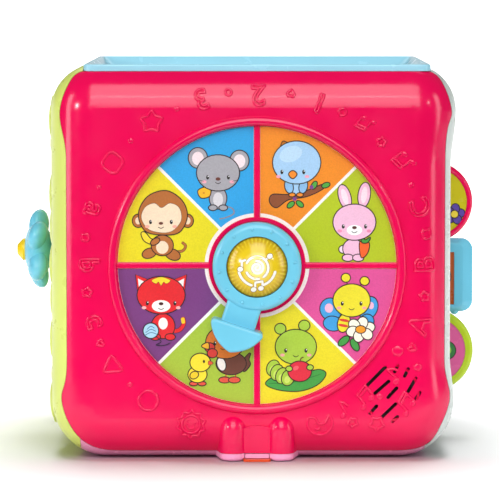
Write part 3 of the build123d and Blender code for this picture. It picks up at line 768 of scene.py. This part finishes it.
def square(size):
    c, k = 0.86, 0.5
    corners = scaled([(c, k), (k, c), (-k, c), (-c, k), (-c, -k), (-k, -c), (k, -c), (c, -k)], size)
    return [cord(rounded(dense(corners, step=4), 2))]


def diamond(size):
    return [cord(rounded(dense(polygon_loop(4, size * 1.15), step=3), 2))]


def heart(size):
    right = [(0.62, -0.42), (1.0, 0.2), (0.82, 0.75), (0.38, 0.82)]
    left = [(-x, y) for x, y in reversed(right)]
    return [cord(rounded(scaled([(0, -1.0), *right, (0, 0.42), *left], size), 4))]


def triangle(size):
    corners = polygon_loop(3, size * 1.1, -TAU / 4)
    blunted = [tuple(a[i] + (b[i] - a[i]) * t for i in (0, 1))
               for a, b in zip(corners, corners[1:] + corners[:1]) for t in (0.14, 0.5, 0.86)]
    return [cord(rounded(blunted, 4))]


def note(size):
    stem = dense(scaled([(0.1, -0.45), (0.1, 0.75)], size), False)
    flag = rounded(scaled([(0.1, 0.75), (0.5, 0.4), (0.62, 0)], size), 5, False)
    head = bump(-0.2 * size, -0.5 * size, 0.34 * size, 0.26 * size, 20)
    return [head, cord(stem, False), cord(flag, False)]


def joined_notes(size):
    ends = ((-0.62, -0.6), (0.36, -0.42))
    heads = [bump(x * size, y * size, 0.3 * size, 0.24 * size, 20) for x, y in ends]
    stems = [(-0.36, -0.56), (-0.36, 0.5), (0.62, 0.72), (0.62, -0.38)]
    low_beam = [(-0.36, 0.24), (0.62, 0.46)]
    return heads + [cord(dense(scaled(run, size), False), False) for run in (stems, low_beam)]


def sun(size):
    eyes = [bump(side * size * 0.25, size * 0.12, 0.75, 0.95) for side in (-1, 1)]
    smile = rounded(scaled([(-0.28, -0.14), (0, -0.3), (0.28, -0.14)], size), 5, False)
    disc = oval(0, 0, size * 0.62, count=32)
    return eyes + [cord(disc), cord(smile, False), cord(star_loop(size, 0.8, 10))]


def moon(size):
    outer = arc_points(size, 20, -230)
    inner = [outer[-1], *scaled([(-0.2, 0.52), (-0.1, 0), (0.4, -0.12)], size), outer[0]]
    smile = rounded(scaled([(-0.5, -0.28), (-0.3, -0.42), (-0.1, -0.36)], size), 5, False)
    return [cord(outer + rounded(inner, 5, False)[1:-1]), bump(-0.42 * size, 0.1 * size, 0.8, 1.0),
            cord(smile, False)]


def glyph(kind, size):
    """Marks of one motif: a single character by its height, anything else by its shape's own function."""
    if isinstance(kind, str):
        return [cord(loop) for loop in letter_loops(kind, size)]
    return kind(size)


# Anticlockwise from the upper left round the dial: shape or character, x, z, size.
MOTIFS = [
    (star, -81, 262.5, 8.5), (dot, -97, 248, 2.3), (square, -111, 231, 8.0), (dot, -121.5, 212, 2.0),
    ("a", -127, 195, 11.5), (square, -132, 173.5, 3.0), ("b", -129, 152, 15), (star, -131, 131, 3.9),
    ("c", -126, 108, 11.5), (heart, -121, 91.5, 2.6), (triangle, -111.5, 74, 8.2), (dot, -98, 59.5, 2.4),
    (ring, -84, 47, 7.6), (sun, -51, 28.5, 11.3), (moon, 48.5, 29.5, 9.6), (note, 66, 40, 8.5),
    (star, 74, 30, 4.0), (joined_notes, 83, 50, 9.5), (dot, 94.7, 50, 2.7), (star, 92.5, 29, 5.8),
    (joined_notes, 115, 45, 9.5), (note, 105, 66, 9.0), (dot, 108.5, 85.5, 4.6), (dot, 124, 73, 3.4),
    (heart, 120, 88, 2.8), ("A", 125, 106, 14.5), (star, 129, 128, 3.9), ("B", 129, 153, 15),
    (square, 130.5, 176, 3.8), ("C", 125.5, 196.5, 15), (dot, 118.5, 214, 2.5),
    (joined_notes, 112, 232.5, 9.5), (star, 95.5, 247, 3.8), (joined_notes, 82.5, 261, 8.0),
    (diamond, 65.5, 270, 2.8), ("1", 48, 276.5, 14.5), (heart, 26, 284, 2.8), ("2", 1, 282.5, 15.5),
    (ring, -22, 285, 2.4), ("3", -42.5, 279.5, 15.5), (dot, -61.5, 272.5, 2.3),
]
CORD = 1.15
BUMP_HEIGHT = 0.95
SPEAKER_X, SPEAKER_Z, SPEAKER_REACH = 103, 53, 26
SLOT_DEPTH = 3


def dome(spot, normal, along, rx, ry, height):
    """Vertices and faces of one closed low bump on a surface."""
    across = normal.cross(along).normalized()
    along = across.cross(normal)
    rings = [(1.0, -0.5), (0.97, 0.2), (0.82, 0.62), (0.56, 0.88), (0.28, 0.98)]
    verts, count = [], 20
    for share, lift in rings:
        for u, v in oval(0, 0, rx * share, ry * share, count=count):
            verts.append(spot + along * u + across * v + normal * height * lift)
    verts += [spot + normal * height, spot - normal * height * 0.5]
    return [tuple(v) for v in verts], closed_faces(len(rings), count)


class Bumps:
    """Many small closed bumps gathered into one piece."""

    def __init__(self):
        self.verts, self.faces = [], []

    def take(self, made):
        base = len(self.verts)
        self.verts += made[0]
        self.faces += [tuple(base + i for i in face) for face in made[1]]

    def finish(self, name, mat, body, slot):
        return piece(name, self.verts, self.faces, [mat], body)


def front_relief():
    """Raised motifs, each with its top towards the dial's centre; cords bridge the speaker slots."""
    tree = surface_of("front_shell")
    runs, bumps = [], Bumps()
    for kind, x, z, size in MOTIFS:
        turn = math.atan2(z - DIAL_Z, x) + math.pi / 2
        c, s = math.cos(turn), math.sin(turn)
        for shape, *values in glyph(kind, size):
            if shape == "bump":
                u, v, rx, ry, lean = values
                spot, normal = cast(tree, (x + u * c - v * s, RAY_START, z + u * s + v * c), (0, 1, 0))
                a = turn + math.radians(lean)
                bumps.take(dome(spot, normal, Vector((math.cos(a), 0, math.sin(a))), rx, ry, BUMP_HEIGHT))
                continue
            points, closed = values
            spots = []
            for u, v in dense(points, closed):
                px, pz = x + u * c - v * s, z + u * s + v * c
                spot, _ = cast(tree, (px, RAY_START, pz), (0, 1, 0))
                near_speaker = math.hypot(px - SPEAKER_X, pz - SPEAKER_Z) < SPEAKER_REACH
                over_slot = spot is None or spot.y > FRONT_Y + SLOT_DEPTH and near_speaker
                spots.append((px, FRONT_Y if over_slot else spot.y, pz))
            runs.append((spots, closed))
    tubes("front_relief", runs, CORD, MAGENTA, "cube_body")
    bumps.finish("front_bumps", MAGENTA, "cube_body", "magenta_plastic")


front_relief()


# ---------------- flower spinner


FLOWER_Z = 152.5
FLOWER_RADIUS = 33.5
PETALS = 5
PETAL_X, PETAL_REACH, PETAL_ROLL, PETAL_BEND = -178.4, 20.0, 15, 2.5
PETAL_SIZE = (7.6, 13.2, 12.2)
MIDDLE_X, MIDDLE_SIZE = -177.6, (11.6, 22.5, 22.5)
SHAFT_ENDS, SHAFT_RADIUS = (-176.0, -155.0), 4.0


def ball(centre, axes, size, bend=0.0):
    """Closed ellipsoid on three axes; bend leans its far end towards the panel."""
    rows, count = 14, 28
    local = []
    for row in range(1, rows):
        low = math.pi * row / rows
        local += [(math.cos(low), y, z) for y, z in oval(0, 0, math.sin(low), count=count)]
    local += [(-1, 0, 0), (1, 0, 0)]
    verts = []
    for point in local:
        spot = centre + sum((axis * r * c for axis, r, c in zip(axes, size, point)), Vector())
        reach = math.hypot(spot.y, spot.z - FLOWER_Z) / FLOWER_RADIUS
        verts.append((spot.x + bend * reach**2, spot.y, spot.z))
    return verts, closed_faces(rows - 1, count)


def shaft():
    """Plain closed stub that carries the petals in the panel."""
    count = 24
    verts = [(x, y, z) for x in SHAFT_ENDS for y, z in oval(0, FLOWER_Z, SHAFT_RADIUS, count=count)]
    faces = [(k, (k + 1) % count, count + (k + 1) % count, count + k) for k in range(count)]
    return verts, faces + [tuple(range(count)), tuple(range(count, 2 * count))]


def flower():
    """Fat petals, each rolled to lie over the next, round a domed middle on a short shaft."""
    bumps = Bumps()
    front = Vector((-1, 0, 0))
    roll = math.radians(PETAL_ROLL)
    for k in range(PETALS):
        a = TAU * k / PETALS
        radial = Vector((0, math.cos(a), math.sin(a)))
        side = front.cross(radial)
        up = front * math.cos(roll) + side * math.sin(roll)
        across = side * math.cos(roll) - front * math.sin(roll)
        centre = Vector((PETAL_X, 0, FLOWER_Z)) + radial * PETAL_REACH
        bumps.take(ball(centre, (up, radial, across), PETAL_SIZE, PETAL_BEND))
    middle = Vector((MIDDLE_X, 0, FLOWER_Z))
    bumps.take(ball(middle, (front, Vector((0, 1, 0)), Vector((0, 0, 1))), MIDDLE_SIZE))
    bumps.take(shaft())
    petals = bumps.finish("flower_swirl", BLUE, "flower", "blue_plastic")
    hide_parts("flower_petals")


flower()


# ---------------- leaves on the left panel


# Each fan has leaves as (spread from its facing, distance out, length, width).
FAN = [(-64, 15, 30, 13), (-32, 17, 36, 15), (0, 18, 40, 17), (32, 17, 36, 15), (64, 15, 30, 13)]
FAN_CORNERS = [(-102, 247, 45), (102, 247, 135), (-102, 57, -45), (102, 57, -135)]
# Single leaves as (y, z, turn); the edge leaves are mirrored to the other side.
EDGE_LEAVES = [(112, 205, 100), (106, 178, 70), (113, 150, 105), (106, 122, 75), (112, 92, 100)]
MIDDLE_LEAVES = [(-38, 252, 12), (0, 258, 0), (38, 252, -12), (-38, 52, -12), (0, 46, 0), (38, 52, 12)]
LEAF_FOOT, LEAF_HEIGHT = 1.2, 2.2
GROOVE_DEPTH, GROOVE_WIDTH = 0.55, 0.9
RING_RADII, RING_WAVE, RING_CORD = (48.0, 56.0), 0.05, 1.1


def leaf(tree, y, z, length, width, turn, height=LEAF_HEIGHT):
    """Pointed leaf with a raised body and a groove along its midrib, lying in the surface's plane."""
    spot, normal = cast(tree, (RAY_START, y, z), (1, 0, 0))
    rings, count = [1.0, 0.98, 0.9, 0.72, 0.45, 0.2], 36
    angle = math.radians(turn)
    across = normal.cross(Vector((0, math.cos(angle), math.sin(angle)))).normalized()
    along = across.cross(normal)
    verts = []
    for number, share in enumerate(rings):
        for c, s in oval(0, 0, 1, count=count):
            u = length / 2 * c * share
            v = width / 2 * s * abs(s)**0.35 * share
            groove = GROOVE_DEPTH * math.exp(-(v / GROOVE_WIDTH)**2)
            lift = -LEAF_FOOT if number == 0 else height * (1 - share**2)**0.55 - groove
            verts.append(tuple(spot + along * u + across * v + normal * lift))
    verts += [tuple(spot + normal * (height - GROOVE_DEPTH)), tuple(spot - normal * LEAF_FOOT)]
    return verts, closed_faces(len(rings), count)


def left_leaves():
    """Fans of leaves in the corners, single leaves between them and two wavy rings round the flower."""
    tree = surface_of("left_shell")
    bumps = Bumps()
    for cy, cz, facing in FAN_CORNERS:
        for k, (spread, out, length, width) in enumerate(FAN):
            a = math.radians(facing + spread)
            bumps.take(leaf(tree, cy + out * math.cos(a), cz + out * math.sin(a), length, width,
                            facing + spread, 2.6 if k % 2 == 0 else 2.0))
    for y, z, turn in EDGE_LEAVES:
        for side in (1, -1):
            bumps.take(leaf(tree, side * y, z, 32, 14, side * turn))
    for y, z, turn in MIDDLE_LEAVES:
        bumps.take(leaf(tree, y, z, 36, 15, turn))
    bumps.finish("left_leaves", GREEN, "cube_body", "green_plastic")
    runs = []
    for radius in RING_RADII:
        spots = []
        for y, z in oval(0, 0, radius, count=72):
            wave = 1 + RING_WAVE * math.cos(10 * math.atan2(z, y))
            spot, _ = cast(tree, (RAY_START, y * wave, FLOWER_Z + z * wave), (1, 0, 0))
            spots.append(tuple(spot))
        runs.append((spots, True))
    tubes("left_rings", runs, RING_CORD, GREEN, "cube_body")


left_leaves()


# ---------------- pointer bumps and button print


POINTER_FACE_Y = -163.0
POINTER_BUMPS, BUMP_RING, FIRST_BUMP = 12, 29.2, 7.3
LENS_CENTRE_Y, LENS_RADIUS = -136.92, 33.08


def pointer_bumps():
    """Ring of small bumps round the pointer's hub."""
    bumps = Bumps()
    for k in range(POINTER_BUMPS):
        a = math.radians(FIRST_BUMP + 360 / POINTER_BUMPS * k)
        spot = Vector((BUMP_RING * math.cos(a), POINTER_FACE_Y, DIAL_Z + BUMP_RING * math.sin(a)))
        bumps.take(dome(spot, Vector((0, -1, 0)), Vector((-math.sin(a), 0, math.cos(a))), 1.3, 1.6, 1.1))
    bumps.finish("pointer_bumps", BLUE, "pointer", "blue_plastic")


def on_button(u, v, h):
    """Place on the button's domed lens."""
    return (u, LENS_CENTRE_Y - math.sqrt(LENS_RADIUS**2 - u * u - v * v) - h, DIAL_Z + v)


def button_print():
    """White spiral with arcs and a few plain notes round it, on the tinted dome."""
    art = Print(on_button, "8A6410")
    white, spread, twist = "FFFDF2", 0.09, 0.24
    spiral = [(spread * k * math.cos(twist * k), spread * k * math.sin(twist * k)) for k in range(4, 61)]
    spans = ((8.6, 160, -60), (8.6, 200, 285), (14.2, 190, 256), (14.2, 288, 350))
    arcs = [spiral] + [arc_points(*span) for span in spans]
    stems = [[(-11.6, -1.0), (-11.6, 5.0), (-8.4, 6.0)], [(9.4, 8.4), (6.4, 6.0)],
             [(-1.4, -17), (-1.4, -11.4), (4.2, -10.4), (4.2, -16)]]
    runs = [(arc, 2.0) for arc in arcs] + [(stem, 1.7) for stem in stems]
    for extra, code in ((0.5, art.line), (0.0, white)):
        for run, width in runs:
            art.plate(ribbon(dense(run, False, 0.7), width + extra), code)
    for x, z in ((-12.8, -1.2), (9.8, 8.8), (-2.6, -17.0), (3.0, -16.0)):
        art.plate(oval(x, z, 2.6, 2.3, 20, 16), art.line)
        art.plate(oval(x, z, 2.2, 1.9, 20, 16), white)
    art.finish("button_print", "button", "printed_label")


pointer_bumps()
button_print()


# ---------------- pictures on the flip tiles


AXLE_X = 142.0


def flip_face(z, face_y, side):
    """Placing rule for one face of a flip tile."""
    def place(u, v, h):
        return (AXLE_X - side * u, side * (face_y + h), z + v)
    return place


def violets(p):
    for x, y, turn in ((18, -10, 10), (-18, -10, 170), (0, 17, 90)):
        for k in range(5):
            a = TAU * k / 5 + math.radians(turn)
            p.oval(x + 4.6 * math.cos(a), y + 4.6 * math.sin(a), 3.7, 3.2, "5B3FA8", math.degrees(a))
        p.oval(x, y, 2.8, 2.8, "F4D83A")
    p.blob([(-6, -3), (0, 2), (6, -3), (4, -9), (-4, -9)], "6BB02E")


def clover(p):
    for x, y in ((11, 0), (-11, 0), (0, 14), (0, -14)):
        p.oval(x, y, 8.2, 7.4, "2F7E3A")
        p.dot(x, y, 5.0, 4.4, "8CCB3E")
    p.oval(0, 0, 4.2, 4.2, "F6E04A")


def mushroom(p):
    p.blob([(-5, -18), (5, -18), (4, -4), (-4, -4)], "F6E4C4")
    p.blob([(-14, -5), (-12, 7), (0, 13), (12, 7), (14, -5), (0, -8)], "D8442E")
    for x, y, r in ((-6, 3, 2.4), (4, 5, 2.8), (8, -2, 1.8), (-1, -3, 1.7)):
        p.dot(x, y, r, r, "FFF4E4")


# Name, body, height of its middle, half its thickness, picture.
FLIP_TILES = [("top", "flip_top", 191.4, 5.5, violets), ("mid", "flip_mid", 132.0, 6.2, mushroom),
              ("low", "flip_low", 70.5, 5.5, clover)]
for name, body, z, face_y, draw in FLIP_TILES:
    for side, face in ((-1, "front"), (1, "back")):
        art = Print(flip_face(z, face_y, side))
        draw(art)
        art.finish(f"flip_print_{name}_{face}", body, "printed_label")


# ---------------- clock face


CLOCK_Y, CLOCK_Z = 148.75, 190
CLOCK_DISCS = [(60.4, "2FA7D8", 72), (56.6, "FBF3C8", 72), (34.0, "F7C9DE", 60), (32.6, "FFF8E0", 60)]
DOT_RING, NUMERAL_RING, NUMERAL_HEIGHT = 25, 43.6, 9.0
NUMERAL_LIFT = 0.1


def stamp(name, marks, at, mat, body):
    """Thin solid characters, (text, u, v, height) each, laid on a plane."""
    verts, faces = [], []
    for text, u, v, size in marks:
        data = bpy.data.curves.new("mark", "FONT")
        data.body, data.size, data.extrude = text, size * 1.35, LAYER
        data.align_x, data.align_y = "CENTER", "CENTER"
        work = welded(mesh_of(data))
        base = len(verts)
        verts += [at(u + p.co.x, v + p.co.y, p.co.z + LAYER) for p in work.verts]
        faces += [tuple(base + q.index for q in f.verts) for f in work.faces]
        work.free()
    return piece(name, verts, faces, [mat], body, smooth=False)


def on_clock(u, v, h):
    """Place on the clock's label, seen from behind the cube."""
    return (-u, CLOCK_Y + h, CLOCK_Z + v)


def on_numerals(u, v, h):
    return on_clock(u, v, h + NUMERAL_LIFT)


def clock_face():
    """Coloured discs, minute ticks, a ring of dots and twelve numerals."""
    art = Print(on_clock, "2C3C78")
    for radius, code, count in CLOCK_DISCS:
        art.plate(oval(0, 0, radius, count=count), code)
    for k in range(60):
        a = TAU * k / 60
        outer, deep, wide = (54.6, 3.4, 1.2) if k % 5 == 0 else (55.2, 1.8, 0.5)
        tick = [(r * math.cos(a), r * math.sin(a)) for r in (outer, outer - deep)]
        art.plate(ribbon(dense(tick, False, 1.0), wide), art.line)
    for k, (x, z) in enumerate(oval(0, 0, DOT_RING, count=12)):
        art.oval(x, z, 2.4, 2.4, ("F08C14", "4CA83C", "DD4E96")[k % 3], line=0)
    art.finish("clock_print", "cube_body", "printed_label")
    marks = []
    for hour in range(1, 13):
        a = math.pi / 2 - TAU * hour / 12
        marks.append((str(hour), NUMERAL_RING * math.cos(a), NUMERAL_RING * math.sin(a), NUMERAL_HEIGHT))
    stamp("clock_numerals", marks, on_numerals, get_ink("D8344A"), "cube_body")


clock_face()


# ---------------- floor, light and camera


def sweep_floor():
    """White sweep: short in front so that the face doesn't mirror it, and low for views from behind."""
    half, front, back, rise, bend, steps = 5.0, -0.42, 3.4, 0.6, 0.5, 16
    glow_from, glow_to, glow = 0.3, 1.4, 0.95
    rows = [(front, 0.0), (back - bend, 0.0)]
    for k in range(1, steps + 1):
        a = math.pi / 2 * k / steps
        rows.append((back - bend + bend * math.sin(a), bend - bend * math.cos(a)))
    rows.append((back, rise))
    mesh = bpy.data.meshes.new("floor")
    verts = [(x, y, z) for y, z in rows for x in (-half, half)]
    faces = [(2 * k, 2 * k + 1, 2 * k + 3, 2 * k + 2) for k in range(len(rows) - 1)]
    mesh.from_pydata(verts, [], faces)
    mesh.polygons.foreach_set("use_smooth", [True] * len(mesh.polygons))
    s = Shader("floor_paper")
    tint = s.mix(s.span(s.noise(3.0, 3.0), 0.3, 0.7), (0.86, 0.86, 0.86, 1), (0.89, 0.89, 0.89, 1))
    s.feed("Base Color", tint)
    s.feed("Roughness", 0.75)
    s.feed("Normal", s.bump(s.noise(500.0, 2.0), 0.03, 0.0001))
    depth = s.add("SeparateXYZ", {"Vector": s.place}).outputs["Y"]
    s.feed("Emission Color", tint)
    s.feed("Emission Strength", s.span(depth, glow_from, glow_to, 0.0, glow))
    mesh.materials.append(s.mat)
    floor = bpy.data.objects.new("floor", mesh)
    bpy.context.scene.collection.objects.link(floor)
    return floor


def light_groups(floor):
    """Collections that let a lamp reach only the floor, or all but the floor."""
    groups = {}
    for state in ("INCLUDE", "EXCLUDE"):
        groups[state] = bpy.data.collections.new("floor_" + state.lower())
        groups[state].objects.link(floor)
        groups[state].collection_objects[0].light_linking.link_state = state
    return groups


def softbox(name, place, target, size, power, group):
    """Rectangular lamp aimed at a point, shining only on a group."""
    data = bpy.data.lights.new(name, "AREA")
    data.shape = "RECTANGLE"
    data.size, data.size_y = size
    data.energy = power
    obj = bpy.data.objects.new(name, data)
    obj.location = place
    aim = Vector(target) - Vector(place)
    obj.rotation_euler = aim.to_track_quat("-Z", "Y").to_euler()
    bpy.context.scene.collection.objects.link(obj)
    obj.light_linking.receiver_collection = group


def camera():
    """Long lens in front, a little above the middle and looking slightly down."""
    data = bpy.data.cameras.new("camera")
    data.lens, data.sensor_width = 253.3, 36.0
    data.clip_end = 50.0
    obj = bpy.data.objects.new("camera", data)
    obj.location = (0.0, -2.85, 0.377)
    aim = Vector((-0.0054, -0.15, 0.1637)) - obj.location
    obj.rotation_euler = aim.to_track_quat("-Z", "Y").to_euler()
    bpy.context.scene.collection.objects.link(obj)
    bpy.context.scene.camera = obj


def lighting(groups):
    """Wide box and line over the camera, keys, side strips and a rear box for the cube; two floor lamps."""
    world = bpy.data.worlds.new("studio")
    world.use_nodes = True
    sky = world.node_tree.nodes["Background"]
    sky.inputs["Color"].default_value = (1, 1, 1, 1)
    sky.inputs["Strength"].default_value = 0.10
    bpy.context.scene.world = world
    middle, foot = (0, -0.1, 0.15), (0, -0.1, 0)
    cube, floor = groups["EXCLUDE"], groups["INCLUDE"]
    softbox("front_box", (0.15, -3.1, 2.3), middle, (2.4, 4.0), 104, cube)
    softbox("front_line", (0.15, -2.85, 1.75), middle, (2.2, 0.1), 5, cube)
    softbox("left_key", (-1.95, -2.0, 0.72), middle, (0.26, 0.26), 15, cube)
    softbox("right_key", (2.0, -2.2, 1.1), middle, (0.2, 0.2), 3, cube)
    softbox("left_strip", (-2.2, -0.9, 0.7), middle, (0.5, 1.6), 12, cube)
    softbox("right_strip", (2.2, -0.9, 0.7), middle, (0.5, 1.6), 9, cube)
    softbox("rear_box", (0.0, 1.7, 1.9), (0, 0.1, 0.1), (2.0, 1.0), 12, cube)
    softbox("floor_lamp", (0.05, 0.35, 2.4), foot, (1.5, 1.5), 84, floor)
    softbox("floor_front", (0.0, -2.2, 2.6), foot, (2.4, 1.6), 22, floor)
    view = bpy.context.scene.view_settings
    view.view_transform = "Standard"
    view.look = "None"


lighting(light_groups(sweep_floor()))
camera()
